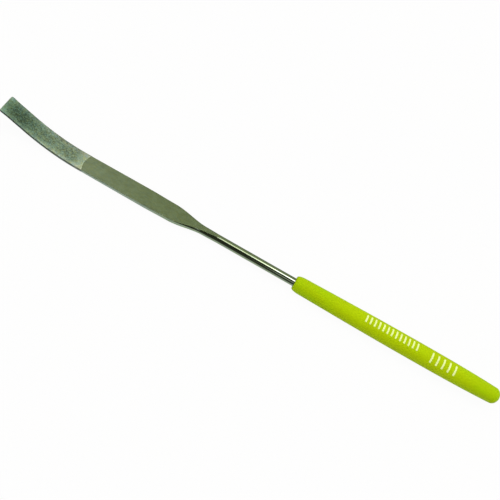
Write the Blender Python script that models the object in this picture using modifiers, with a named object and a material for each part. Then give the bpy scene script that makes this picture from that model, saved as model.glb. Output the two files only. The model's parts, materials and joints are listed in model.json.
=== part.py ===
"""A bent-tip diamond file: a steel blank, its abrasive coating and a plastic grip. Metres, +Z up."""

import math

import bmesh
import bpy
import numpy as np
from mathutils import Vector

# Steel blank, lengths along its centreline from the tip
TIP_LENGTH = 0.0094  # straight end beyond the bend
BEND_LENGTH = 0.0196
BEND_ANGLE = math.radians(24.1)
FLAT_LENGTH = 0.0234  # from the bend to the widest place
FLARE_LENGTH = 0.0036  # of the tip, which spreads a little at its very end
HEEL_LENGTH = 0.0092  # slow narrowing
SHOULDER_LENGTH = 0.0121  # quick narrowing
RUNOUT_LENGTH = 0.0054  # last narrowing, to the round shank
SHANK_LENGTH = 0.0275  # round shank that shows
TANG_LENGTH = 0.0640  # the same wire inside the grip

# Steel blank, widths and thicknesses
FLARE_WIDTH = 0.00644
TIP_WIDTH = 0.00622
BLADE_WIDTH = 0.00644
HEEL_WIDTH = 0.00604
THROAT_WIDTH = 0.00298
SHANK_DIAMETER = 0.00274
TIP_THICKNESS = 0.00070
BEND_THICKNESS = 0.00104
HEEL_THICKNESS = 0.00150
EDGE_RADIUS = 0.00010  # along the blade's four long edges
CORNER_RADIUS = 0.00050  # of the tip's two corners, seen from above
CLIMB_LENGTH = 0.0151  # where each flat climbs back to the round of the shank

# Abrasive coating
COATED_LENGTH = 0.0305  # along the edges
COATING_THICKNESS = 0.00005
COATING_SEAT = 0.00002  # gap between the coating and the steel
BORDER_BULGE = 0.0008  # how far the border curves towards the tip, on each flat
BORDER_FADE = 0.0040  # stretch over which the rings take on that curve

# Grip
GRIP_LENGTH = 0.0746
GRIP_FRONT_RADIUS = 0.00279
GRIP_SWELL_RADIUS = 0.00324
GRIP_SWELL_STATION = 0.0424  # from the front face to the thickest place
GRIP_LIP_LENGTH = 0.0028  # the rounded lip at the front, along the grip
GRIP_LIP_DROP = 0.00080  # and across it
GRIP_SEAT = 0.00005  # gap between the tang and the bore
BORE_END_GAP = 0.0003
TAIL_DROP = 0.00065  # how much the grip thins from its thickest place to its tail
TAIL_CURVE = 2.8  # exponent of that thinning
TAIL_ROUNDING = 0.0021  # the rounded end, along the grip

WELD_DISTANCE = 0.000001  # closes the seam and the two poles of the turned shape

# Steps of the faceted solids
SIDE_STEPS = 11  # from flat to flat, so the shank has twice this plus two sides
CORNER_STEPS = 4
FLARE_STEPS = 4
BEND_STEPS = 16
FLAT_STEPS = 3
HEEL_STEPS = 3
SHOULDER_STEPS = 10
RUNOUT_STEPS = 8
FADE_STEPS = 3
GRIP_SIDES = 40
BELLY_STEPS = 8
TAIL_STEPS = 8
END_STEPS = 6
SHARP_ANGLE = math.radians(30)

# How the file lies at rest, found by halving a range of tilts
STEEPEST_REST = math.radians(15)
REST_ROUNDS = 48

# Stations along the centreline
BEND_START = TIP_LENGTH + BEND_LENGTH
FLAT_END = BEND_START + FLAT_LENGTH
HEEL_END = FLAT_END + HEEL_LENGTH
SHOULDER_END = HEEL_END + SHOULDER_LENGTH
RUNOUT_END = SHOULDER_END + RUNOUT_LENGTH
GRIP_FRONT = RUNOUT_END + SHANK_LENGTH
TANG_END = GRIP_FRONT + TANG_LENGTH

SHANK_RADIUS = SHANK_DIAMETER / 2

# Colours are linear
STEEL_COLOUR = (0.36, 0.38, 0.31)
COATING_COLOUR = (0.20, 0.25, 0.17)
GRIP_COLOUR = (0.36, 0.55, 0.005)


def mix(start, end, share):
    return start + (end - start) * share


def ease(share):
    """Smooth step from 0 to 1, level at both ends."""
    share = min(max(share, 0.0), 1.0)
    return share * share * (3 - 2 * share)


def spread(start, end, steps):
    """The places after start, up to and with end."""
    return [mix(start, end, step / steps) for step in range(1, steps + 1)]


def on_centreline(station, across, above):
    """A point beside the centreline. X runs from the bend towards the grip, and the tip curls up."""
    past_bend = BEND_START - station
    if past_bend <= 0:
        return Vector((-past_bend, across, above))
    bend_radius = BEND_LENGTH / BEND_ANGLE
    on_arc = min(past_bend, BEND_LENGTH)
    angle = on_arc / bend_radius
    straight = past_bend - on_arc
    x = -bend_radius * math.sin(angle) - straight * math.cos(angle)
    z = bend_radius * (1 - math.cos(angle)) + straight * math.sin(angle)
    return Vector((x + above * math.sin(angle), across, z + above * math.cos(angle)))


def half_width(station):
    places = (0, FLARE_LENGTH, FLAT_END, HEEL_END, SHOULDER_END, RUNOUT_END)
    widths = (FLARE_WIDTH, TIP_WIDTH, BLADE_WIDTH, HEEL_WIDTH, THROAT_WIDTH, SHANK_DIAMETER)
    for i in range(len(places) - 1):
        if station <= places[i + 1]:
            share = (station - places[i]) / (places[i + 1] - places[i])
            return mix(widths[i], widths[i + 1], ease(share)) / 2
    return SHANK_RADIUS


def half_thickness(station):
    """The height of the flats, which climb through the neck until they run out on the shank."""
    places = (0, BEND_START, HEEL_END)
    sizes = (TIP_THICKNESS, BEND_THICKNESS, HEEL_THICKNESS)
    level = float(np.interp(station, places, sizes)) / 2
    climb = min(max((station - RUNOUT_END) / CLIMB_LENGTH + 1, 0.0), 1.0)
    return mix(level, SHANK_RADIUS, climb)


def blade_side(wide, thick, edge):
    """One side of the blade's section, from the upper flat to the lower one: two rounded edges."""
    arc = []
    for step in range(CORNER_STEPS + 1):
        angle = math.pi / 2 * step / CORNER_STEPS
        arc.append((wide - edge + edge * math.sin(angle), thick - edge + edge * math.cos(angle)))
    upright = thick - edge
    between = SIDE_STEPS - 2 * CORNER_STEPS
    middle = [(wide, height) for height in spread(upright, -upright, between)[:-1]]
    return arc + middle + [(across, -above) for across, above in reversed(arc)]


def shank_side(wide, thick):
    """One side of the shank's section: an ellipse that the two flats cut off."""
    first = max(math.acos(min(thick / SHANK_RADIUS, 1.0)), math.pi / (2 * SIDE_STEPS + 2))
    angles = [first] + spread(first, math.pi - first, SIDE_STEPS)
    return [(wide * math.sin(angle), SHANK_RADIUS * math.cos(angle)) for angle in angles]


def ring(station, side):
    """A closed loop of points: this side, then its mirror image, the other way."""
    right = [on_centreline(station, across, above) for across, above in side]
    left = [on_centreline(station, -across, above) for across, above in reversed(side)]
    return right + left


def tip_rings(grow):
    """The rings round the tip's corners, grown outwards by this much."""
    rings = []
    for step in range(CORNER_STEPS + 1):
        angle = math.pi / 2 * step / CORNER_STEPS
        station = CORNER_RADIUS - (CORNER_RADIUS + grow) * math.cos(angle)
        corner = CORNER_RADIUS - (CORNER_RADIUS + grow) * math.sin(angle)
        within = max(station, 0.0)
        wide, thick = half_width(within) - corner, half_thickness(within) + grow
        rings.append(ring(station, blade_side(wide, thick, EDGE_RADIUS + grow)))
    return rings


def blank_ring(station):
    wide, thick = half_width(station), half_thickness(station)
    roundness = ease((station - HEEL_END) / SHOULDER_LENGTH)
    side = []
    for flat, round_ in zip(blade_side(wide, thick, EDGE_RADIUS), shank_side(wide, thick)):
        side.append((mix(flat[0], round_[0], roundness), mix(flat[1], round_[1], roundness)))
    return ring(station, side)


def coating_ring(station):
    """A ring of the coating's inner surface, whose points follow the curved border near its end."""
    wide, thick = half_width(station) + COATING_SEAT, half_thickness(station) + COATING_SEAT
    shift = BORDER_BULGE * ease((station - COATED_LENGTH) / BORDER_FADE + 1)
    points = []
    for sign, order in ((1, 1), (-1, -1)):
        for across, above in blade_side(wide, thick, EDGE_RADIUS + COATING_SEAT)[::order]:
            moved = station - shift * (1 - (across / wide) ** 2)
            points.append(on_centreline(moved, sign * across, above))
    return points


def lofted(name, rings, far_cap):
    """A skin over rings of equally many points. The first ring is always closed by a cap."""
    shape = bmesh.new()
    loops = [[shape.verts.new(point) for point in points] for points in rings]
    for near, far in zip(loops, loops[1:]):
        for i in range(len(near)):
            j = (i + 1) % len(near)
            shape.faces.new((near[i], far[i], far[j], near[j]))
    shape.faces.new(loops[0])
    if far_cap:
        shape.faces.new(reversed(loops[-1]))
    return as_object(name, shape)


def as_object(name, shape):
    mesh = bpy.data.meshes.new(name)
    shape.to_mesh(mesh)
    shape.free()
    return bpy.data.objects.new(name, mesh)


def principled(name, colour, metallic, roughness):
    material = bpy.data.materials.new(name)
    material.use_nodes = True
    shader = material.node_tree.nodes["Principled BSDF"]
    shader.inputs["Base Color"].default_value = (*colour, 1.0)
    shader.inputs["Metallic"].default_value = metallic
    shader.inputs["Roughness"].default_value = roughness
    material.diffuse_color = (*colour, 1.0)
    return material


def make_blank():
    stations = spread(CORNER_RADIUS, FLARE_LENGTH, FLARE_STEPS) + [TIP_LENGTH]
    stations += spread(TIP_LENGTH, BEND_START, BEND_STEPS)
    stations += spread(BEND_START, FLAT_END, FLAT_STEPS)
    stations += spread(FLAT_END, HEEL_END, HEEL_STEPS)
    stations += spread(HEEL_END, SHOULDER_END, SHOULDER_STEPS)
    stations += spread(SHOULDER_END, RUNOUT_END, RUNOUT_STEPS)
    stations += [GRIP_FRONT, TANG_END]
    rings = tip_rings(0.0) + [blank_ring(station) for station in stations]
    blank = lofted("steel_blank", rings, far_cap=True)
    blank.data.materials.append(principled("ground_steel", STEEL_COLOUR, 1.0, 0.35))
    return blank


def make_coating():
    """The inner surface as an open skin, given its thickness outwards."""
    fade_start = COATED_LENGTH - BORDER_FADE
    stations = spread(CORNER_RADIUS, FLARE_LENGTH, FLARE_STEPS) + [TIP_LENGTH]
    stations += [place for place in spread(TIP_LENGTH, BEND_START, BEND_STEPS) if place < fade_start]
    stations += [fade_start] + spread(fade_start, COATED_LENGTH, FADE_STEPS)
    rings = tip_rings(COATING_SEAT) + [coating_ring(station) for station in stations]
    coating = lofted("diamond_coating", rings, far_cap=False)
    wall = coating.modifiers.new("wall", "SOLIDIFY")
    wall.thickness = COATING_THICKNESS
    wall.offset = 1.0
    wall.use_even_offset = True
    coating.data.materials.append(principled("diamond_grit", COATING_COLOUR, 0.6, 0.6))
    return coating


def grip_radius(place):
    """The grip's outer radius at this distance behind its front face, past the lip."""
    if place <= GRIP_SWELL_STATION:
        share = (place - GRIP_LIP_LENGTH) / (GRIP_SWELL_STATION - GRIP_LIP_LENGTH)
        return mix(GRIP_FRONT_RADIUS, GRIP_SWELL_RADIUS, math.sin(math.pi / 2 * share))
    share = (place - GRIP_SWELL_STATION) / (GRIP_LENGTH - GRIP_SWELL_STATION)
    radius = GRIP_SWELL_RADIUS - TAIL_DROP * share**TAIL_CURVE
    turned = max((place - GRIP_LENGTH) / TAIL_ROUNDING + 1, 0.0)
    return radius * math.sqrt(max(1 - turned * turned, 0.0))


def grip_profile():
    """Radius and depth behind the front face: up the bore, round the lip and down the outside."""
    bore_radius = SHANK_RADIUS + GRIP_SEAT
    bore_depth = TANG_LENGTH + BORE_END_GAP
    profile = [(0.0, bore_depth), (bore_radius, bore_depth), (bore_radius, 0.0)]
    for step in range(CORNER_STEPS + 1):
        angle = math.pi / 2 * step / CORNER_STEPS
        radius = GRIP_FRONT_RADIUS - GRIP_LIP_DROP * (1 - math.sin(angle))
        profile.append((radius, GRIP_LIP_LENGTH * (1 - math.cos(angle))))
    for place in spread(GRIP_LIP_LENGTH, GRIP_SWELL_STATION, BELLY_STEPS):
        profile.append((grip_radius(place), place))
    rounding_start = GRIP_LENGTH - TAIL_ROUNDING
    for place in spread(GRIP_SWELL_STATION, rounding_start, TAIL_STEPS):
        profile.append((grip_radius(place), place))
    for step in range(1, END_STEPS):
        place = rounding_start + TAIL_ROUNDING * math.sin(math.pi / 2 * step / END_STEPS)
        profile.append((grip_radius(place), place))
    profile.append((0.0, GRIP_LENGTH))
    return profile


def make_grip():
    shape = bmesh.new()
    points = [shape.verts.new((radius, 0.0, -depth)) for radius, depth in grip_profile()]
    for start, end in zip(points, points[1:]):
        shape.edges.new((start, end))
    grip = as_object("grip", shape)
    turn = grip.modifiers.new("turn", "SCREW")
    turn.axis = "Z"
    turn.steps = turn.render_steps = GRIP_SIDES
    turn.use_merge_vertices = True
    turn.merge_threshold = WELD_DISTANCE
    grip.location.x = GRIP_FRONT - BEND_START
    grip.rotation_euler.y = -math.pi / 2
    grip.data.materials.append(principled("soft_plastic", GRIP_COLOUR, 0.0, 0.45))
    return grip


def world_points(piece):
    graph = bpy.context.evaluated_depsgraph_get()
    evaluated = piece.evaluated_get(graph)
    mesh = evaluated.to_mesh()
    points = np.array([evaluated.matrix_world @ vertex.co for vertex in mesh.vertices])
    evaluated.to_mesh_clear()
    return points


def lowest(points, tilt):
    return (points[:, 2] * math.cos(tilt) + points[:, 0] * math.sin(tilt)).min()


def lay_down(file_axis, blade_pieces, grip):
    """Tilts the file until its belly and the grip touch one level surface, then centres it there."""
    bpy.context.view_layer.update()
    blade = np.concatenate([world_points(piece) for piece in blade_pieces])
    handle = world_points(grip)
    low, high = 0.0, STEEPEST_REST
    for _ in range(REST_ROUNDS):
        tilt = (low + high) / 2
        if lowest(handle, tilt) < lowest(blade, tilt):
            low = tilt
        else:
            high = tilt
    file_axis.rotation_euler.y = -tilt
    bpy.context.view_layer.update()
    points = np.concatenate([world_points(piece) for piece in (*blade_pieces, grip)])
    least, most = points.min(axis=0), points.max(axis=0)
    middle = (least + most) / 2
    file_axis.location = (-middle[0], -middle[1], -least[2])
    print(f"rests {math.degrees(tilt):.2f} degrees nose down")


def main():
    for old in list(bpy.data.objects):
        bpy.data.objects.remove(old)
    parts = bpy.data.collections.new("diamond_file")
    bpy.context.scene.collection.children.link(parts)
    file_axis = bpy.data.objects.new("file_axis", None)
    parts.objects.link(file_axis)
    blank, coating, grip = make_blank(), make_coating(), make_grip()
    for piece in (blank, coating, grip):
        parts.objects.link(piece)
        piece.parent = file_axis
        piece.data.shade_smooth()
        piece.data.set_sharp_from_angle(angle=SHARP_ANGLE)
    lay_down(file_axis, (blank, coating), grip)


main()
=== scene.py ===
import json
import math

import bmesh
import bpy
from mathutils import Matrix, Vector, noise


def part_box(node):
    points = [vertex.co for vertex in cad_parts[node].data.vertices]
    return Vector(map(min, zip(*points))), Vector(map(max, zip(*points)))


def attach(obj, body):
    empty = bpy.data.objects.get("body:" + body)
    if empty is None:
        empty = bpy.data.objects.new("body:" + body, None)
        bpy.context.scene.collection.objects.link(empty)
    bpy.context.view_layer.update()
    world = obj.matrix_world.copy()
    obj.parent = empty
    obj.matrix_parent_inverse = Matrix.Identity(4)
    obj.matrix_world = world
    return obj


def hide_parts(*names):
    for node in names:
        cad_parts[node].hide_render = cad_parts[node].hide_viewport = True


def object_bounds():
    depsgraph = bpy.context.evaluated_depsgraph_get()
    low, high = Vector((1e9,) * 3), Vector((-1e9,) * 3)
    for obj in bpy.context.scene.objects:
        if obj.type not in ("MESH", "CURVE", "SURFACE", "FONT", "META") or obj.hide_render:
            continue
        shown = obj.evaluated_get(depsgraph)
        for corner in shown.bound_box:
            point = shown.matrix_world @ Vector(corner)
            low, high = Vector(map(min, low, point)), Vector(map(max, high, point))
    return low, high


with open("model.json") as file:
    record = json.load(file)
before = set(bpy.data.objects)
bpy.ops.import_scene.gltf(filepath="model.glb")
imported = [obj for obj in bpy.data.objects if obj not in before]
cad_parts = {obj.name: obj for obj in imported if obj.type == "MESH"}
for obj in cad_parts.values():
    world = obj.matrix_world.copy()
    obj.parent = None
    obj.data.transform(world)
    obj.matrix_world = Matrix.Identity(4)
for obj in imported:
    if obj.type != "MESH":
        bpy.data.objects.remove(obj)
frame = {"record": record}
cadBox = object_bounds()
print("frame loaded")

weldDistance = 1e-7
white = (1.0, 1.0, 1.0)

# The blade and its wire, in metres: lengths along the centreline from the tip, then widths and thicknesses
blade = {
    "tipLength": 0.0094,
    "bendLength": 0.0196,
    "bendAngle": math.radians(24.1),
    "flatLength": 0.0234,
    "heelLength": 0.0092,
    "shoulderLength": 0.0121,
    "runoutLength": 0.0054,
    "shankLength": 0.0275,
    "tangLength": 0.0640,
    "flareLength": 0.0036,
    "flareWidth": 0.00644,
    "tipWidth": 0.00622,
    "bladeWidth": 0.00644,
    "heelWidth": 0.00604,
    "throatWidth": 0.00298,
    "shankRadius": 0.00137,
    "tipThickness": 0.00070,
    "bendThickness": 0.00104,
    "heelThickness": 0.00150,
    "edgeRadius": 0.00010,
    "cornerRadius": 0.00050,
    "endRadius": 0.00012,
    "climbLength": 0.0151,  # where each flat climbs back to the round of the shank
    "leastFold": math.radians(7.5),  # half of the shank's arc that stays with each flat
    "flatShares": (0, 0.25, 0.5, 0.75, 0.9, 0.98),
    "cornerSteps": 12,
    "middleSteps": 9,
    "endSteps": 8,
    "ringSteps": (6, 40, 24, 20, 44, 40, 14, 8),  # one for each stretch from the tip's corners to the tang's end
    "sharpAngle": math.radians(14),
}

bendStart = blade["tipLength"] + blade["bendLength"]
flatEnd = bendStart + blade["flatLength"]
heelEnd = flatEnd + blade["heelLength"]
shoulderEnd = heelEnd + blade["shoulderLength"]
runoutEnd = shoulderEnd + blade["runoutLength"]
gripFront = runoutEnd + blade["shankLength"]
tangEnd = gripFront + blade["tangLength"]


def mix(start, end, share):
    return start + (end - start) * share


def ease(share):
    share = min(max(share, 0), 1)
    return share * share * (3 - 2 * share)


def spread(start, end, steps):
    return [mix(start, end, step / steps) for step in range(1, steps + 1)]


def between(value, places, sizes):
    # Straight lines from place to place
    for i in range(len(places) - 1):
        if value <= places[i + 1]:
            share = max(value - places[i], 0) / (places[i + 1] - places[i])
            return mix(sizes[i], sizes[i + 1], share)
    return sizes[-1]


# The record's two blade flats give the file's tilt and line, and the tang's end gives its place on that line
def restingPlace():
    mounts = {mount["name"]: mount for mount in frame["record"]["mounts"]}
    top, bottom = mounts["blade_flat_top"], mounts["blade_flat_bottom"]
    across = Vector((0, 1, 0))
    upward = (Vector(top["axis"]) - Vector(bottom["axis"])).normalized()
    forward = across.cross(upward)
    onAxis = (Vector(top["pos_m"]) + Vector(bottom["pos_m"])) / 2
    onAxis.y = 0
    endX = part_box("steel_blank")[1].x
    startX = endX - forward.x * (tangEnd - bendStart) - forward.z * blade["shankRadius"]
    start = onAxis + forward * (startX - onAxis.x) / forward.x
    return Matrix.Translation(start) @ Matrix((forward, across, upward)).transposed().to_4x4()


filePlace = restingPlace()


# X runs from the bend towards the grip, and the tip curls up
def onCentreline(station, across, above):
    pastBend = bendStart - station
    if pastBend <= 0:
        return Vector((-pastBend, across, above))
    bendRadius = blade["bendLength"] / blade["bendAngle"]
    onArc = min(pastBend, blade["bendLength"])
    angle = onArc / bendRadius
    straight = pastBend - onArc
    x = -bendRadius * math.sin(angle) - straight * math.cos(angle)
    z = bendRadius * (1 - math.cos(angle)) + straight * math.sin(angle)
    return Vector((x + above * math.sin(angle), across, z + above * math.cos(angle)))


def halfWidth(station):
    places = (0, blade["flareLength"], flatEnd, heelEnd, shoulderEnd, runoutEnd)
    names = ("flareWidth", "tipWidth", "bladeWidth", "heelWidth", "throatWidth")
    widths = [blade[name] for name in names] + [2 * blade["shankRadius"]]
    for i in range(len(places) - 1):
        if station <= places[i + 1]:
            share = (station - places[i]) / (places[i + 1] - places[i])
            return mix(widths[i], widths[i + 1], ease(share)) / 2
    return blade["shankRadius"]


def halfThickness(station):
    sizes = [blade[name] for name in ("tipThickness", "bendThickness", "heelThickness")]
    level = between(station, (0, bendStart, heelEnd), sizes) / 2
    climb = min(max((station - runoutEnd) / blade["climbLength"] + 1, 0), 1)
    return mix(level, blade["shankRadius"], climb)


def endInset(depth, radius):
    # How far a rounded end pulls a side in, this deep behind the end
    if depth >= radius:
        return 0
    return radius - math.sqrt(max(radius * radius - (radius - depth) ** 2, 0))


# Half a section, from the middle of the upper flat round the right side to the middle of the lower one.
# Each point is (across, above, 1 on a flat or 0 on the side).
def halfLoop(wide, thick, edge, roundness, shares, cornerSteps, middleSteps):
    radius = blade["shankRadius"]
    fold = max(math.acos(min(thick / radius, 1)), blade["leastFold"])

    def blended(squared, rounded, flat):
        across, above = (mix(a, b, roundness) for a, b in zip(squared, rounded))
        return across, above, flat

    upper = []
    for share in shares:
        angle = fold * share
        squared = (share * (wide - edge), thick)
        rounded = (wide * math.sin(angle), min(radius * math.cos(angle), thick))
        upper.append(blended(squared, rounded, 1.0))
    sideSteps = 2 * cornerSteps + middleSteps
    side = []
    for step in range(sideSteps + 1):
        turn = math.pi / 2 * min(step, sideSteps - step, cornerSteps) / cornerSteps
        height = thick - edge + edge * math.cos(turn)
        if step > sideSteps - step:
            height = -height
        if cornerSteps < step < sideSteps - cornerSteps:
            height = mix(thick - edge, edge - thick, (step - cornerSteps) / middleSteps)
        squared = (wide - edge + edge * math.sin(turn), height)
        angle = mix(fold, math.pi - fold, step / sideSteps)
        rounded = (wide * math.sin(angle), radius * math.cos(angle))
        side.append(blended(squared, rounded, 1.0 if step in (0, sideSteps) else 0.0))
    return upper + side + [(across, -above, flat) for across, above, flat in reversed(upper)]


def wholeLoop(half):
    return half + [(-across, above, flat) for across, above, flat in reversed(half[1:-1])]


# A flat grid is rolled up over the loops, one row to each, and welded along its seam and where a loop closes up.
# Each loop is a list of (place, route, share), and route and share stay with the vertices as attributes.
def rollUp(loops, shareName):
    rows, around = len(loops) - 1, len(loops[0])
    shape = bmesh.new()
    bmesh.ops.create_grid(shape, x_segments=rows, y_segments=around, size=1)
    routes = shape.verts.layers.float_vector.new("route")
    shares = shape.verts.layers.float.new(shareName)
    for vert in shape.verts:
        row = round((vert.co.x + 1) / 2 * rows)
        column = round((vert.co.y + 1) / 2 * around) % around
        place, route, share = loops[row][column]
        vert.co = place
        vert[routes] = route
        vert[shares] = share
    bmesh.ops.remove_doubles(shape, verts=shape.verts, dist=weldDistance)
    bmesh.ops.dissolve_degenerate(shape, edges=shape.edges, dist=weldDistance)
    bmesh.ops.holes_fill(shape, edges=shape.edges)
    bmesh.ops.recalc_face_normals(shape, faces=shape.faces)
    return shape


# Ends a shape: lays it down where the file rests, shades it smooth and lets it stand for its CAD node
def finished(name, shape, node, material, sharpAngle):
    bmesh.ops.transform(shape, matrix=filePlace, verts=shape.verts)
    mesh = bpy.data.meshes.new(name)
    shape.to_mesh(mesh)
    shape.free()
    mesh.shade_smooth()
    mesh.set_sharp_from_angle(angle=sharpAngle)
    mesh.materials.append(material)
    piece = bpy.data.objects.new(name, mesh)
    bpy.context.scene.collection.objects.link(piece)
    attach(piece, "root")
    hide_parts(node)
    print(name, len(mesh.polygons), "faces")
    return piece


# Nodes
def addNode(tree, kind, **settings):
    node = tree.nodes.new(kind)
    for key, value in settings.items():
        setattr(node, key, value)
    return node


def feed(tree, socket, value):
    if isinstance(value, bpy.types.NodeSocket):
        tree.links.new(value, socket)
    else:
        socket.default_value = value


def calculate(tree, operation, *values, clamp=False):
    node = addNode(tree, "ShaderNodeMath", operation=operation, use_clamp=clamp)
    for socket, value in zip(node.inputs, values):
        feed(tree, socket, value)
    return node.outputs["Value"]


# 0 at low, 1 at high, with a soft step between. Low may be the larger number.
def softStep(tree, value, low, high):
    node = addNode(tree, "ShaderNodeMapRange", interpolation_type="SMOOTHSTEP")
    feed(tree, node.inputs["Value"], value)
    feed(tree, node.inputs["From Min"], low)
    feed(tree, node.inputs["From Max"], high)
    return node.outputs["Result"]


def window(tree, value, start, end):
    # 1 between start and end
    fall = calculate(tree, "SUBTRACT", 1.0, softStep(tree, value, *end))
    return calculate(tree, "MULTIPLY", softStep(tree, value, *start), fall)


def within(tree, value, middle, reach):
    offMiddle = calculate(tree, "ABSOLUTE", calculate(tree, "SUBTRACT", value, middle))
    return calculate(tree, "LESS_THAN", offMiddle, reach)


# A value from 0 to 1 turned to one that spreads this far around a middle
def spreadAround(tree, value, middle, reach):
    return calculate(tree, "MULTIPLY_ADD", value, reach, calculate(tree, "SUBTRACT", middle, reach / 2))


def blendValues(tree, share, first, second):
    node = addNode(tree, "ShaderNodeMix", data_type="FLOAT")
    for socket, value in zip((node.inputs[0], node.inputs[2], node.inputs[3]), (share, first, second)):
        feed(tree, socket, value)
    return node.outputs[0]


def blendColours(tree, share, first, second):
    node = addNode(tree, "ShaderNodeMix", data_type="RGBA", clamp_factor=True)
    feed(tree, node.inputs["Factor"], share)
    for name, value in (("A", first), ("B", second)):
        socket = [s for s in node.inputs if s.name == name and s.type == "RGBA"][0]
        feed(tree, socket, (*value, 1) if isinstance(value, tuple) else value)
    return [s for s in node.outputs if s.type == "RGBA"][0]


def scaledColour(tree, colour, level):
    node = addNode(tree, "ShaderNodeVectorMath", operation="SCALE")
    feed(tree, node.inputs[0], colour)
    feed(tree, node.inputs["Scale"], level)
    return node.outputs["Vector"]


def joinedColours(tree, operation, first, second):
    node = addNode(tree, "ShaderNodeVectorMath", operation=operation)
    feed(tree, node.inputs[0], first)
    feed(tree, node.inputs[1], second)
    return node.outputs["Vector"]


def parts(tree, vector):
    node = addNode(tree, "ShaderNodeSeparateXYZ")
    tree.links.new(vector, node.inputs["Vector"])
    return node.outputs["X"], node.outputs["Y"], node.outputs["Z"]


# Object coordinates turned to the file's own axes and counted in cells of this size
def fileCoordinates(tree, cell):
    source = addNode(tree, "ShaderNodeTexCoord")
    mapping = addNode(tree, "ShaderNodeMapping", vector_type="TEXTURE")
    mapping.inputs["Location"].default_value = filePlace.translation
    mapping.inputs["Rotation"].default_value = filePlace.to_euler()
    mapping.inputs["Scale"].default_value = cell
    tree.links.new(source.outputs["Object"], mapping.inputs["Vector"])
    return mapping.outputs["Vector"]


def storedValue(tree, name, output):
    return addNode(tree, "ShaderNodeAttribute", attribute_name=name).outputs[output]


def noiseOf(tree, vector, scale, detail, roughness=0.5):
    node = addNode(tree, "ShaderNodeTexNoise")
    feed(tree, node.inputs["Vector"], vector)
    feed(tree, node.inputs["Scale"], scale)
    node.inputs["Detail"].default_value = detail
    node.inputs["Roughness"].default_value = roughness
    return node.outputs["Fac"]


def cellNoise(tree, cell, detail, roughness=0.5):
    return noiseOf(tree, fileCoordinates(tree, cell), 1.0, detail, roughness)


# Two sizes of soft patches, from about -1 to 1, shared by every surface of the file
def makePatchGroup():
    tree = bpy.data.node_groups.new("unevenPatches", "ShaderNodeTree")
    tree.interface.new_socket("Vector", in_out="INPUT", socket_type="NodeSocketVector")
    for name in ("Fineness", "Fine share"):
        tree.interface.new_socket(name, in_out="INPUT", socket_type="NodeSocketFloat")
    tree.interface.new_socket("Value", in_out="OUTPUT", socket_type="NodeSocketFloat")
    given, result = addNode(tree, "NodeGroupInput"), addNode(tree, "NodeGroupOutput")
    large = noiseOf(tree, given.outputs["Vector"], 1.0, 1.0)
    fine = noiseOf(tree, given.outputs["Vector"], given.outputs["Fineness"], 2.0)
    large, fine = (calculate(tree, "MULTIPLY_ADD", value, 4.0, -2.0) for value in (large, fine))
    tree.links.new(blendValues(tree, given.outputs["Fine share"], large, fine), result.inputs["Value"])
    return tree


patchGroup = makePatchGroup()


def patches(tree, cell, fineness, fineShare):
    node = addNode(tree, "ShaderNodeGroup", node_tree=patchGroup)
    feed(tree, node.inputs["Vector"], fileCoordinates(tree, cell))
    node.inputs["Fineness"].default_value = fineness
    node.inputs["Fine share"].default_value = fineShare
    return node.outputs["Value"]


# How much of its second colour each place of a mottled surface takes
def mottling(tree, given):
    uneven = patches(tree, **given["patches"])
    return calculate(tree, "MULTIPLY_ADD", uneven, given["strength"], given["middle"], clamp=True)


def mottledTint(tree, given):
    return blendColours(tree, mottling(tree, given), given["coolTint"], given["warmTint"])


def newMaterial(name, metallic):
    material = bpy.data.materials.new(name)
    material.use_nodes = True
    tree = material.node_tree
    shader = tree.nodes["Principled BSDF"]
    shader.inputs["Metallic"].default_value = metallic
    return material, tree, shader


def bumpOf(tree, height, distance, strength):
    node = addNode(tree, "ShaderNodeBump")
    node.inputs["Strength"].default_value = strength
    node.inputs["Distance"].default_value = distance
    feed(tree, node.inputs["Height"], height)
    return node.outputs["Normal"]


# Steel blank
steel = {
    "nearColour": (0.244, 0.306, 0.204),  # ground flats beside the coating
    "farColour": (0.181, 0.236, 0.129),  # and at the heel
    "sideColour": (0.305, 0.372, 0.300),  # narrow sides of the blade
    "brightColour": (0.280, 0.350, 0.240),  # neck and shank
    "edgeTint": (0.55, 0.66, 0.50),  # what the metal keeps of a glancing reflection
    "groundStep": (0.3, 0.9),
    "flatRoughness": 0.38,
    "flatRoughnessReach": 0.16,
    "brightRoughness": 0.10,
    "brightRoughnessReach": 0.06,
    "lines": {"cell": (0.006, 0.00009, 0.00009), "detail": 3.0, "roughness": 0.6},
    "lineTone": 0.40,
    "lineDepth": 0.000003,
    "lineStrength": 0.5,
    "brightLineShare": 0.2,  # how much of the lines' depth is left on the bright metal
    "patches": {"cell": (0.0022, 0.0011, 0.0011), "fineness": 3.5, "fineShare": 0.4},
    "patchTone": 0.17,
    "stain": {  # faint, from the grinding
        "patches": {"cell": (0.00132, 0.00077, 0.00077), "fineness": 2.4, "fineShare": 0.5},
        "strength": 0.9,
        "middle": 0.5,
        "warmTint": (1.04, 1.0, 0.89),
        "coolTint": (0.96, 1.0, 1.11),
    },
}


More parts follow.
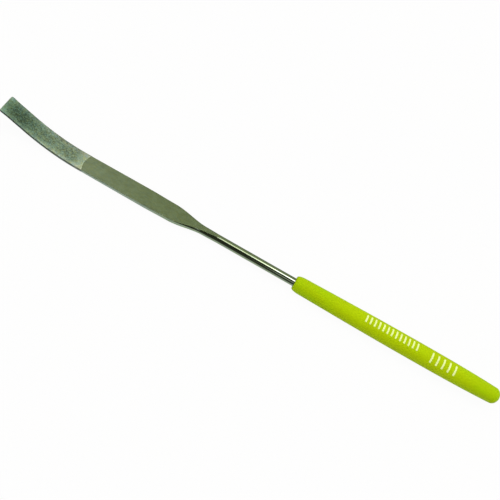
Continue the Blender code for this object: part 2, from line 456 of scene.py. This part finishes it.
def steelMaterial():
    material, tree, shader = newMaterial("groundSteel", 1.0)
    shader.inputs["Specular Tint"].default_value = (*steel["edgeTint"], 1)
    ground = softStep(tree, storedValue(tree, "ground", "Fac"), *steel["groundStep"])
    station = parts(tree, storedValue(tree, "route", "Vector"))[0]
    toHeel = softStep(tree, station, bendStart, heelEnd)
    pastFlat = softStep(tree, station, flatEnd, heelEnd)
    flat = blendColours(tree, toHeel, steel["nearColour"], steel["farColour"])
    bright = blendColours(tree, pastFlat, steel["sideColour"], steel["brightColour"])
    colour = blendColours(tree, ground, bright, flat)
    lines = cellNoise(tree, **steel["lines"])
    tone = calculate(tree, "MULTIPLY_ADD", patches(tree, **steel["patches"]), steel["patchTone"], 1.0)
    shade = calculate(tree, "MULTIPLY", tone, spreadAround(tree, lines, 1.0, steel["lineTone"]))
    shaded, tint = scaledColour(tree, colour, shade), mottledTint(tree, steel["stain"])
    tree.links.new(joinedColours(tree, "MULTIPLY", shaded, tint), shader.inputs["Base Color"])
    brightRough = spreadAround(tree, lines, steel["brightRoughness"], steel["brightRoughnessReach"])
    flatRough = spreadAround(tree, lines, steel["flatRoughness"], steel["flatRoughnessReach"])
    tree.links.new(blendValues(tree, ground, brightRough, flatRough), shader.inputs["Roughness"])
    height = calculate(tree, "MULTIPLY", lines, blendValues(tree, ground, steel["brightLineShare"], 1.0))
    tree.links.new(bumpOf(tree, height, steel["lineDepth"], steel["lineStrength"]), shader.inputs["Normal"])
    return material


def makeBlank():
    cornerRadius, endRadius = blade["cornerRadius"], blade["endRadius"]
    loops = []

    def addLoop(station, inset, flatness):
        wide = halfWidth(max(station, 0)) - inset
        thick = (halfThickness(max(station, 0)) - endInset(station, endRadius)) * flatness
        roundness = ease((station - heelEnd) / blade["shoulderLength"])
        edge = min(blade["edgeRadius"], thick)
        steps = (blade["cornerSteps"], blade["middleSteps"])
        half = halfLoop(wide, thick, edge, roundness, blade["flatShares"], *steps)
        loop = []
        for across, above, flat in wholeLoop(half):
            onFlat = 0.0 if station > runoutEnd else flat
            loop.append((onCentreline(station, across, above), (station, across, above), onFlat))
        loops.append(loop)

    addLoop(0, cornerRadius, 0)
    for step in range(blade["endSteps"] + 1):
        angle = math.pi / 2 * step / blade["endSteps"]
        addLoop(cornerRadius * (1 - math.cos(angle)), cornerRadius * (1 - math.sin(angle)), 1)
    places = (cornerRadius, blade["flareLength"], bendStart, flatEnd, heelEnd)
    places += (shoulderEnd, runoutEnd, gripFront, tangEnd)
    for start, end, steps in zip(places, places[1:], blade["ringSteps"]):
        for station in spread(start, end, steps):
            addLoop(station, 0, 1)
    shape = rollUp(loops, "onFlat")
    # Each face is ground or bright as a whole, so its corners carry it
    onFlat = shape.verts.layers.float["onFlat"]
    ground = shape.loops.layers.float.new("ground")
    for face in shape.faces:
        level = min(vert[onFlat] for vert in face.verts)
        for corner in face.loops:
            corner[ground] = level
    return finished("steelBlank", shape, "steel_blank", steelMaterial(), blade["sharpAngle"])


# Diamond coating
coating = {
    "length": 0.0305,
    "thickness": 0.000046,
    "seat": 0.00002,
    "borderBulge": 0.0008,
    "borderFade": 0.0040,
    "gridSize": 0.00009,
    "innerSteps": 12,
    "endSteps": 4,
    "cornerSteps": 3,
    "middleSteps": 8,
    "closingShares": (0.8, 0.6, 0.4, 0.2, 0),  # the rings that close the end of the blade
    "grainSize": 0.00016,
    "grainHeight": 0.000022,
    "grainReach": (0.45, 0.80),  # radius of the smallest and the largest grain, in cells
    "grainSlope": 0.25,
    "lowestGrain": 0.6,
    "metallic": 0.75,
    # Painted shade of the bend: the coating darkens from its back colour to the tip colour towards the tip
    "shadedTipColour": (0.143, 0.250, 0.150),
    "backColour": (0.243, 0.341, 0.230),
    "colourStep": (0.004, 0.026),
    "stain": {
        "patches": {"cell": (0.0012, 0.0009, 0.0009), "fineness": 2.6, "fineShare": 0.6},
        "strength": 1.1,
        "middle": 0.45,
        "warmTint": (1.13, 1.01, 0.80),
        "coolTint": (0.90, 0.99, 1.18),
    },
    "lineWidth": (0.0005, 0.0001),  # paler line just inside the border of the layer
    "lineGain": 0.30,
    "blotches": {"cell": (0.00062, 0.00062, 0.00062), "fineness": 2.1, "fineShare": 0.6},
    "blotchGain": 0.80,
    "borderBlotchGain": 0.48,
    "nearBorder": (0.0228, 0.0270),
    "broad": {"cell": (0.0032, 0.0025, 0.0025), "detail": 1.0},
    "broadGain": 0.36,
    "grainGain": 0.4,
    "darkest": 0.3,
    "sideShade": 0.35,
    "roughness": 0.52,
    "roughnessReach": 0.3,
    "fine": {"cell": (0.00006, 0.00006, 0.00006), "detail": 3.0, "roughness": 0.6},
    "fineDepth": 0.00002,
    "fineStrength": 0.6,
}

# Where the coating is painted paler or darker than its own colour, by how much, and the tint that it takes there:
# the gains are painted light and shade. Soft
# steps bound each zone: along from the tip, across from the middle to the far side, and aside to either side.
zones = [
    # Painted highlight on the end of the blade, and a thin warmer line along it
    {"steps": [("along", 0.0022, 0.0002)], "gain": 0.44, "tint": (0.97, 0.98, 1.08)},
    {"steps": [("along", 0.0007, 0.0001)], "tint": (1.14, 0.98, 0.94)},
    # Painted light: the coating is paler at its border
    {"steps": [("along", 0.0258, 0.0288)], "gain": 0.58, "tint": (1.03, 0.945, 1.01)},
    # Painted light along the near edge, a pinkish tint of painted reflection on both edges, and painted light on
    # the far edge towards the tip
    {"steps": [("across", -0.0015, -0.0030)], "gain": 0.60, "tint": (1.04, 0.95, 1.06)},
    {"steps": [("across", 0.0014, 0.0024)], "tint": (1.04, 0.95, 1.06)},
    {"steps": [("across", 0.0014, 0.0024), ("along", 0.019, 0.012)], "gain": 0.38},
    # Painted shade of the bend in a dark band behind the tip, painted light in a paler one after it, and painted
    # shade in a dark middle
    {"steps": [("along", 0.0015, 0.0045), ("along", 0.0125, 0.0060)], "gain": -0.22},
    {"steps": [("along", 0.0100, 0.0150), ("along", 0.0240, 0.0190)], "gain": 0.09},
    {"steps": [("aside", 0.0020, 0.0004), ("along", 0.0270, 0.0228)], "gain": -0.15},
]


def grainShare(place):
    # 1 on top of a grain and 0 in the metal between grains. A grain's centre decides its size and height.
    near, points = noise.voronoi(place / coating["grainSize"])
    size = mix(*coating["grainReach"], noise.cell(points[0] * 7.3))
    height = mix(coating["lowestGrain"], 1, noise.cell(points[0] * 3.1 + Vector((5, 9, 2))))
    return min(max((size - near[0]) / coating["grainSlope"], 0), 1) * height


def coatingMaterial():
    material, tree, shader = newMaterial("diamondGrit", coating["metallic"])
    station, across, side = parts(tree, storedValue(tree, "route", "Vector"))
    places = {"along": station, "across": across, "aside": calculate(tree, "ABSOLUTE", across)}
    # Painted shade: darker towards the bent tip
    toBack = softStep(tree, station, *coating["colourStep"])
    colour = blendColours(tree, toBack, coating["shadedTipColour"], coating["backColour"])
    level, tint = 1.0, mottledTint(tree, coating["stain"])
    # The zones' gains paint light and shade onto the coating's colour
    for zone in zones:
        share = 1.0
        for axis, start, end in zone["steps"]:
            share = calculate(tree, "MULTIPLY", softStep(tree, places[axis], start, end), share)
        if "gain" in zone:
            level = calculate(tree, "MULTIPLY_ADD", share, zone["gain"], level)
        if "tint" in zone:
            tint = joinedColours(tree, "MULTIPLY", tint, blendColours(tree, share, white, zone["tint"]))
    # The line follows the curve of the border
    offMiddle = calculate(tree, "MULTIPLY", across, 2 / blade["bladeWidth"])
    offMiddle = calculate(tree, "MULTIPLY", offMiddle, offMiddle)
    middleLength = coating["length"] - coating["borderBulge"]
    border = calculate(tree, "MULTIPLY_ADD", offMiddle, coating["borderBulge"], middleLength)
    line = softStep(tree, calculate(tree, "SUBTRACT", border, station), *coating["lineWidth"])
    # Paler along the border line
    level = calculate(tree, "MULTIPLY_ADD", line, coating["lineGain"], level)
    nearBorder = softStep(tree, station, *coating["nearBorder"])
    blotchGain = blendValues(tree, nearBorder, coating["blotchGain"], coating["borderBlotchGain"])
    level = calculate(tree, "MULTIPLY_ADD", patches(tree, **coating["blotches"]), blotchGain, level)
    level = spreadAround(tree, cellNoise(tree, **coating["broad"]), level, coating["broadGain"])
    level = spreadAround(tree, storedValue(tree, "grain", "Fac"), level, coating["grainGain"])
    level = calculate(tree, "MAXIMUM", level, coating["darkest"])
    level = calculate(tree, "MULTIPLY", level, blendValues(tree, side, 1.0, coating["sideShade"]))
    toned = joinedColours(tree, "MULTIPLY", scaledColour(tree, colour, level), tint)
    tree.links.new(toned, shader.inputs["Base Color"])
    fine = cellNoise(tree, **coating["fine"])
    rough = spreadAround(tree, fine, coating["roughness"], coating["roughnessReach"])
    tree.links.new(rough, shader.inputs["Roughness"])
    tree.links.new(bumpOf(tree, fine, coating["fineDepth"], coating["fineStrength"]), shader.inputs["Normal"])
    return material


def makeCoating():
    seat, full = coating["seat"], coating["seat"] + coating["thickness"]
    cornerRadius, endRadius = blade["cornerRadius"], blade["endRadius"]
    flatSteps = round(blade["tipWidth"] / 2 / coating["gridSize"])
    shares = [step / flatSteps for step in range(flatSteps)]
    loops = []

    def addLoop(station, inset, grow, flatness):
        nearest = max(station, 0)
        wide = halfWidth(nearest) + grow - inset
        thick = (halfThickness(nearest) + grow - endInset(station + grow, endRadius + grow)) * flatness
        edge = min(blade["edgeRadius"] + grow, thick)
        shift = coating["borderBulge"] * ease((station - coating["length"]) / coating["borderFade"] + 1)
        grain = 1.0 if grow == full else 0.0
        steps = (coating["cornerSteps"], coating["middleSteps"])
        loop = []
        for across, above, flat in wholeLoop(halfLoop(wide, thick, edge, 0, shares, *steps)):
            moved = station - shift * (1 - (across / wide) ** 2)
            loop.append((onCentreline(moved, across, above), (moved, across, 1 - flat), grain))
        loops.append(loop)

    def endRings(grow):
        rings = []
        for step in range(coating["endSteps"] + 1):
            angle = math.pi / 2 * step / coating["endSteps"]
            reach = cornerRadius + grow
            rings.append((cornerRadius - reach * math.cos(angle), reach * (1 - math.sin(angle))))
        return rings

    # Inside, from the closed end to the border
    addLoop(-seat, cornerRadius + seat, seat, 0)
    for station, inset in endRings(seat):
        addLoop(station, inset, seat, 1)
    fadeStart = coating["length"] - coating["borderFade"]
    for start, end in ((cornerRadius, fadeStart), (fadeStart, coating["length"])):
        for station in spread(start, end, coating["innerSteps"]):
            addLoop(station, 0, seat, 1)
    # Outside, back to the end and over it
    steps = round((coating["length"] - cornerRadius) / coating["gridSize"])
    for station in reversed([cornerRadius] + spread(cornerRadius, coating["length"], steps)):
        addLoop(station, 0, full, 1)
    for station, inset in reversed(endRings(full)[:-1]):
        addLoop(station, inset, full, 1)
    for flatness in coating["closingShares"]:
        addLoop(-full, cornerRadius + full, full, flatness)
    shape = rollUp(loops, "grain")
    shape.normal_update()
    grains = shape.verts.layers.float["grain"]
    for vert in shape.verts:
        if vert[grains] > 0:
            share = grainShare(vert.co)
            vert[grains] = share
            vert.co -= vert.normal * coating["grainHeight"] * (1 - share)
    return finished("diamondCoating", shape, "diamond_coating", coatingMaterial(), math.pi)


# Grip
grip = {
    "length": 0.0746,
    "frontRadius": 0.002786,
    "swellRadius": 0.00324,
    "swellStation": 0.0424,
    "lipLength": 0.0028,
    "lipDrop": 0.00080,
    "mouthRadius": 0.00015,
    "seat": 0.00005,
    "boreEndGap": 0.0003,
    "tailDrop": 0.00065,
    "tailCurve": 2.8,
    "tailRounding": 0.0021,
    "sides": 128,
    "mouthSteps": 4,
    "lipSteps": 16,
    "frontSteps": 40,
    "backSteps": 30,
    "tailSteps": 20,
    "sharpAngle": math.radians(35),
    "colour": (0.388, 0.632, 0.0022),
    "yellowColour": (0.460, 0.662, 0.0022),
    "yellowStart": (0.084, 0.100),
    "yellowEnd": (0.132, 0.148),
    "ochre": {
        "patches": {"cell": (0.007, 0.0035, 0.0035), "fineness": 3.0, "fineShare": 0.3},
        "strength": 0.35,
        "middle": 0.3,
    },
    "ochreColour": (0.445, 0.565, 0.0022),
    "inkColour": (0.86, 1.0, 0.42),
    "roughness": 0.50,
    "roughnessReach": 0.12,
    "gloss": 0.09,
    "glossTint": (0.85, 1.0, 0.15),
    "peel": {"cell": (0.0004, 0.0004, 0.0004), "detail": 2.0},
    "peelDepth": 0.000006,
    "peelStrength": 0.5,
}

# Plain printed ticks: where a row starts and ends along the grip, its middle and reach round it, and its spacing
marks = [
    {"start": 0.1026, "end": 0.1214, "middle": 0.0, "reach": 0.42, "pitch": 0.00152, "width": 0.00056},
    {"start": 0.1263, "end": 0.1353, "middle": -0.25, "reach": 0.55, "pitch": 0.00210, "width": 0.00060},
]


def gripRadius(place):
    if place <= grip["swellStation"]:
        share = (place - grip["lipLength"]) / (grip["swellStation"] - grip["lipLength"])
        return mix(grip["frontRadius"], grip["swellRadius"], math.sin(math.pi / 2 * share))
    share = (place - grip["swellStation"]) / (grip["length"] - grip["swellStation"])
    radius = grip["swellRadius"] - grip["tailDrop"] * share ** grip["tailCurve"]
    turned = max((place - grip["length"]) / grip["tailRounding"] + 1, 0)
    return radius * math.sqrt(max(1 - turned * turned, 0))


def gripMaterial():
    material, tree, shader = newMaterial("softPlastic", 0.0)
    along, across, above = parts(tree, fileCoordinates(tree, (1, 1, 1)))
    angle = calculate(tree, "ARCTAN2", across, above)
    ink = 0.0
    for mark in marks:
        cycle = calculate(tree, "WRAP", calculate(tree, "SUBTRACT", along, mark["start"]), mark["pitch"], 0.0)
        tick = calculate(tree, "LESS_THAN", cycle, mark["width"])
        inRow = within(tree, along, (mark["start"] + mark["end"]) / 2, (mark["end"] - mark["start"]) / 2)
        tick = calculate(tree, "MULTIPLY", tick, inRow)
        tick = calculate(tree, "MULTIPLY", tick, within(tree, angle, mark["middle"], mark["reach"]))
        ink = calculate(tree, "MAXIMUM", ink, tick)
    yellower = window(tree, along, grip["yellowStart"], grip["yellowEnd"])
    plastic = blendColours(tree, yellower, grip["colour"], grip["yellowColour"])
    plastic = blendColours(tree, mottling(tree, grip["ochre"]), plastic, grip["ochreColour"])
    tree.links.new(blendColours(tree, ink, plastic, grip["inkColour"]), shader.inputs["Base Color"])
    peel = cellNoise(tree, **grip["peel"])
    rough = spreadAround(tree, peel, grip["roughness"], grip["roughnessReach"])
    tree.links.new(rough, shader.inputs["Roughness"])
    tree.links.new(bumpOf(tree, peel, grip["peelDepth"], grip["peelStrength"]), shader.inputs["Normal"])
    shader.inputs["Specular IOR Level"].default_value = grip["gloss"]
    shader.inputs["Specular Tint"].default_value = (*grip["glossTint"], 1)
    return material


def makeGrip():
    boreRadius = blade["shankRadius"] + grip["seat"]
    boreDepth = blade["tangLength"] + grip["boreEndGap"]
    mouth = grip["mouthRadius"]
    # The profile runs as (radius, depth behind the front face), out of the bore and along the outside to the tail
    profile = [(0, boreDepth), (boreRadius, boreDepth), (boreRadius, mouth)]
    for angle in spread(0, math.pi / 2, grip["mouthSteps"]):
        profile.append((boreRadius + mouth * (1 - math.cos(angle)), mouth * (1 - math.sin(angle))))
    for angle in [0] + spread(0, math.pi / 2, grip["lipSteps"]):
        radius = grip["frontRadius"] - grip["lipDrop"] * (1 - math.sin(angle))
        profile.append((radius, grip["lipLength"] * (1 - math.cos(angle))))
    roundingStart = grip["length"] - grip["tailRounding"]
    depths = spread(grip["lipLength"], grip["swellStation"], grip["frontSteps"])
    depths += spread(grip["swellStation"], roundingStart, grip["backSteps"])
    for angle in spread(0, math.pi / 2, grip["tailSteps"])[:-1]:
        depths.append(roundingStart + grip["tailRounding"] * math.sin(angle))
    profile += [(gripRadius(depth), depth) for depth in depths] + [(0, grip["length"])]
    shape = bmesh.new()
    front = gripFront - bendStart
    verts = [shape.verts.new((front + depth, 0, radius)) for radius, depth in profile]
    edges = [shape.edges.new(pair) for pair in zip(verts, verts[1:])]
    bmesh.ops.spin(shape, geom=verts + edges, cent=(0, 0, 0), axis=(1, 0, 0), dvec=(0, 0, 0),
                   angle=2 * math.pi, steps=grip["sides"], use_merge=True, use_duplicate=False)
    bmesh.ops.remove_doubles(shape, verts=shape.verts, dist=weldDistance)
    bmesh.ops.recalc_face_normals(shape, faces=shape.faces)
    return finished("gripSleeve", shape, "grip", gripMaterial(), grip["sharpAngle"])


makeBlank()
makeCoating()
makeGrip()

# Camera, as the photograph was taken: looking down on the blade from its near side
camera = {
    "aim": (0.0602026, 0.0016850, 0.0009724),  # on the file's own axes
    "tilt": 0.53227,
    "roll": 0.51767,
    "distance": 0.22297,
    "lens": 50.47,
    "sensor": 36,
    "nearest": 0.01,
    "farthest": 20,
}


def makeCamera():
    tilt, roll = camera["tilt"], camera["roll"]
    back = Vector((0, -math.sin(tilt), math.cos(tilt)))
    over = Vector((0, math.cos(tilt), math.sin(tilt)))
    along = Vector((1, 0, 0))
    right = along * math.cos(roll) + over * math.sin(roll)
    up = over * math.cos(roll) - along * math.sin(roll)
    turn = Matrix((right, up, back)).transposed().to_4x4()
    place = Matrix.Translation(Vector(camera["aim"]) + back * camera["distance"])
    data = bpy.data.cameras.new("camera")
    data.lens = camera["lens"]
    data.sensor_width = camera["sensor"]
    data.clip_start, data.clip_end = camera["nearest"], camera["farthest"]
    eye = bpy.data.objects.new("camera", data)
    eye.matrix_world = filePlace @ place @ turn
    bpy.context.scene.collection.objects.link(eye)
    bpy.context.scene.camera = eye


makeCamera()

# Studio: levels are brightness, 1 is white. Angles are from straight up, towards the far side, in degrees.
# The long box of light overhead and the small one at the side are what the shank mirrors.
studio = {
    "wallStops": [
        (-180, 0.30), (-112, 0.12), (-75, 0.06), (-50, 0.045), (-29, 0.04), (-18, 0.045), (-4, 0.11),
        (34, 0.50), (70, 0.52), (180, 0.52)],
    "wallTint": (0.95, 1.0, 0.66),
    "boxStart": (-9, -1),
    "boxEnd": (15, 24),
    "boxStops": [  # lengthwise, where -1 is straight ahead of the tip and 1 straight behind the grip
        (-0.30, 0.15), (-0.10, 0.22), (-0.075, 0.22), (-0.068, 0.72), (-0.062, 0.42), (-0.046, 0.33),
        (-0.038, 0.21), (-0.026, 0.24), (-0.018, 0.35), (-0.010, 0.47), (0.004, 0.60), (0.012, 0.67),
        (0.025, 0.73), (0.045, 0.75), (0.08, 0.74), (0.14, 0.45), (0.25, 0.15)],
    "boxLevel": 6.8,
    "boxTint": (1.06, 1.0, 0.92),
    "boxNearGrip": (0.006, 0.032),
    "boxTintNearGrip": (1.17, 1.0, 1.24),
    "sideBoxStart": (-66, -58),
    "sideBoxEnd": (-48, -38),
    "sideBoxRise": (0.015, 0.045),
    "sideBoxFall": (0.060, 0.080),
    "sideBoxLevel": 1.0,
    "fillLevel": 0.46,
    "fillAngle": -16,
    "fillSoftness": 130,
    "floorSize": 6,
    "floorColour": (0.80, 0.80, 0.80),
    "whiteShare": 0.955,
    "nearLevel": 0.88,
    "whiteReach": (0.013, 0.003),  # how far from the file its metal still sees a white floor
    "dimLevel": 0.15,
}


def stopsRamp(tree, value, stops, low, high):
    node = addNode(tree, "ShaderNodeValToRGB")
    ramp = node.color_ramp
    ramp.elements.remove(ramp.elements[-1])
    for i, (place, level) in enumerate(stops):
        share = (place - low) / (high - low)
        stop = ramp.elements[0] if i == 0 else ramp.elements.new(share)
        stop.position = share
        stop.color = (level, level, level, 1)
    scale = 1 / (high - low)
    feed(tree, node.inputs["Fac"], calculate(tree, "MULTIPLY_ADD", value, scale, -low * scale))
    return node.outputs["Color"]


def makeWorld():
    world = bpy.data.worlds.new("studio")
    world.use_nodes = True
    bpy.context.scene.world = world
    tree = world.node_tree
    tree.nodes.clear()
    lengthwise, aside, upward = parts(tree, addNode(tree, "ShaderNodeTexCoord").outputs["Generated"])
    angle = calculate(tree, "DEGREES", calculate(tree, "ARCTAN2", aside, upward))
    walls = scaledColour(tree, studio["wallTint"], stopsRamp(tree, angle, studio["wallStops"], -180, 180))
    inBox = window(tree, angle, studio["boxStart"], studio["boxEnd"])
    boxRamp = stopsRamp(tree, lengthwise, studio["boxStops"], -1, 1)
    boxLevel = calculate(tree, "MULTIPLY", boxRamp, studio["boxLevel"])
    nearGrip = softStep(tree, lengthwise, *studio["boxNearGrip"])
    boxTint = blendColours(tree, nearGrip, studio["boxTint"], studio["boxTintNearGrip"])
    box = scaledColour(tree, boxTint, calculate(tree, "MULTIPLY", inBox, boxLevel))
    inSideBox = window(tree, angle, studio["sideBoxStart"], studio["sideBoxEnd"])
    sideReach = window(tree, lengthwise, studio["sideBoxRise"], studio["sideBoxFall"])
    sideLevel = calculate(tree, "MULTIPLY", sideReach, studio["sideBoxLevel"])
    sideBox = scaledColour(tree, white, calculate(tree, "MULTIPLY", inSideBox, sideLevel))
    light = joinedColours(tree, "ADD", joinedColours(tree, "ADD", walls, box), sideBox)
    seen = blendColours(tree, addNode(tree, "ShaderNodeLightPath").outputs["Is Camera Ray"], light, white)
    background = addNode(tree, "ShaderNodeBackground")
    tree.links.new(seen, background.inputs["Color"])
    tree.links.new(background.outputs["Background"], addNode(tree, "ShaderNodeOutputWorld").inputs["Surface"])


# A broad soft lamp fills the near side
def makeFill():
    lamp = bpy.data.lights.new("fill", "SUN")
    lamp.energy = studio["fillLevel"] * math.pi
    lamp.angle = math.radians(studio["fillSoftness"])
    fill = bpy.data.objects.new("fill", lamp)
    fill.rotation_euler.x = -math.radians(studio["fillAngle"])
    fill.visible_glossy = False
    bpy.context.scene.collection.objects.link(fill)


def makeFloor():
    bpy.ops.mesh.primitive_plane_add(size=studio["floorSize"], location=(0, 0, cadBox[0].z))
    floor = bpy.context.object
    floor.name = "floor"
    material = bpy.data.materials.new("paleFloor")
    material.use_nodes = True
    tree = material.node_tree
    tree.nodes.clear()
    path = addNode(tree, "ShaderNodeLightPath")
    offFile = parts(tree, addNode(tree, "ShaderNodeTexCoord").outputs["Object"])[1]
    beside = softStep(tree, calculate(tree, "ABSOLUTE", offFile), *studio["whiteReach"])
    reflected = blendValues(tree, beside, studio["dimLevel"], studio["nearLevel"])
    mirrored = calculate(tree, "MAXIMUM", path.outputs["Is Glossy Ray"], path.outputs["Is Transmission Ray"])
    level = blendValues(tree, mirrored, 1.0, reflected)
    shown = calculate(tree, "MULTIPLY_ADD", path.outputs["Is Camera Ray"], studio["whiteShare"], mirrored)
    matte = addNode(tree, "ShaderNodeBsdfDiffuse")
    matte.inputs["Color"].default_value = (*studio["floorColour"], 1)
    glow = addNode(tree, "ShaderNodeEmission")
    tree.links.new(level, glow.inputs["Strength"])
    mixed = addNode(tree, "ShaderNodeMixShader")
    tree.links.new(shown, mixed.inputs["Fac"])
    tree.links.new(matte.outputs["BSDF"], mixed.inputs[1])
    tree.links.new(glow.outputs["Emission"], mixed.inputs[2])
    tree.links.new(mixed.outputs["Shader"], addNode(tree, "ShaderNodeOutputMaterial").inputs["Surface"])
    material.cycles.emission_sampling = "NONE"
    floor.data.materials.append(material)


makeWorld()
makeFill()
makeFloor()
bpy.context.scene.view_settings.view_transform = "Standard"
print("camera, light and floor set")
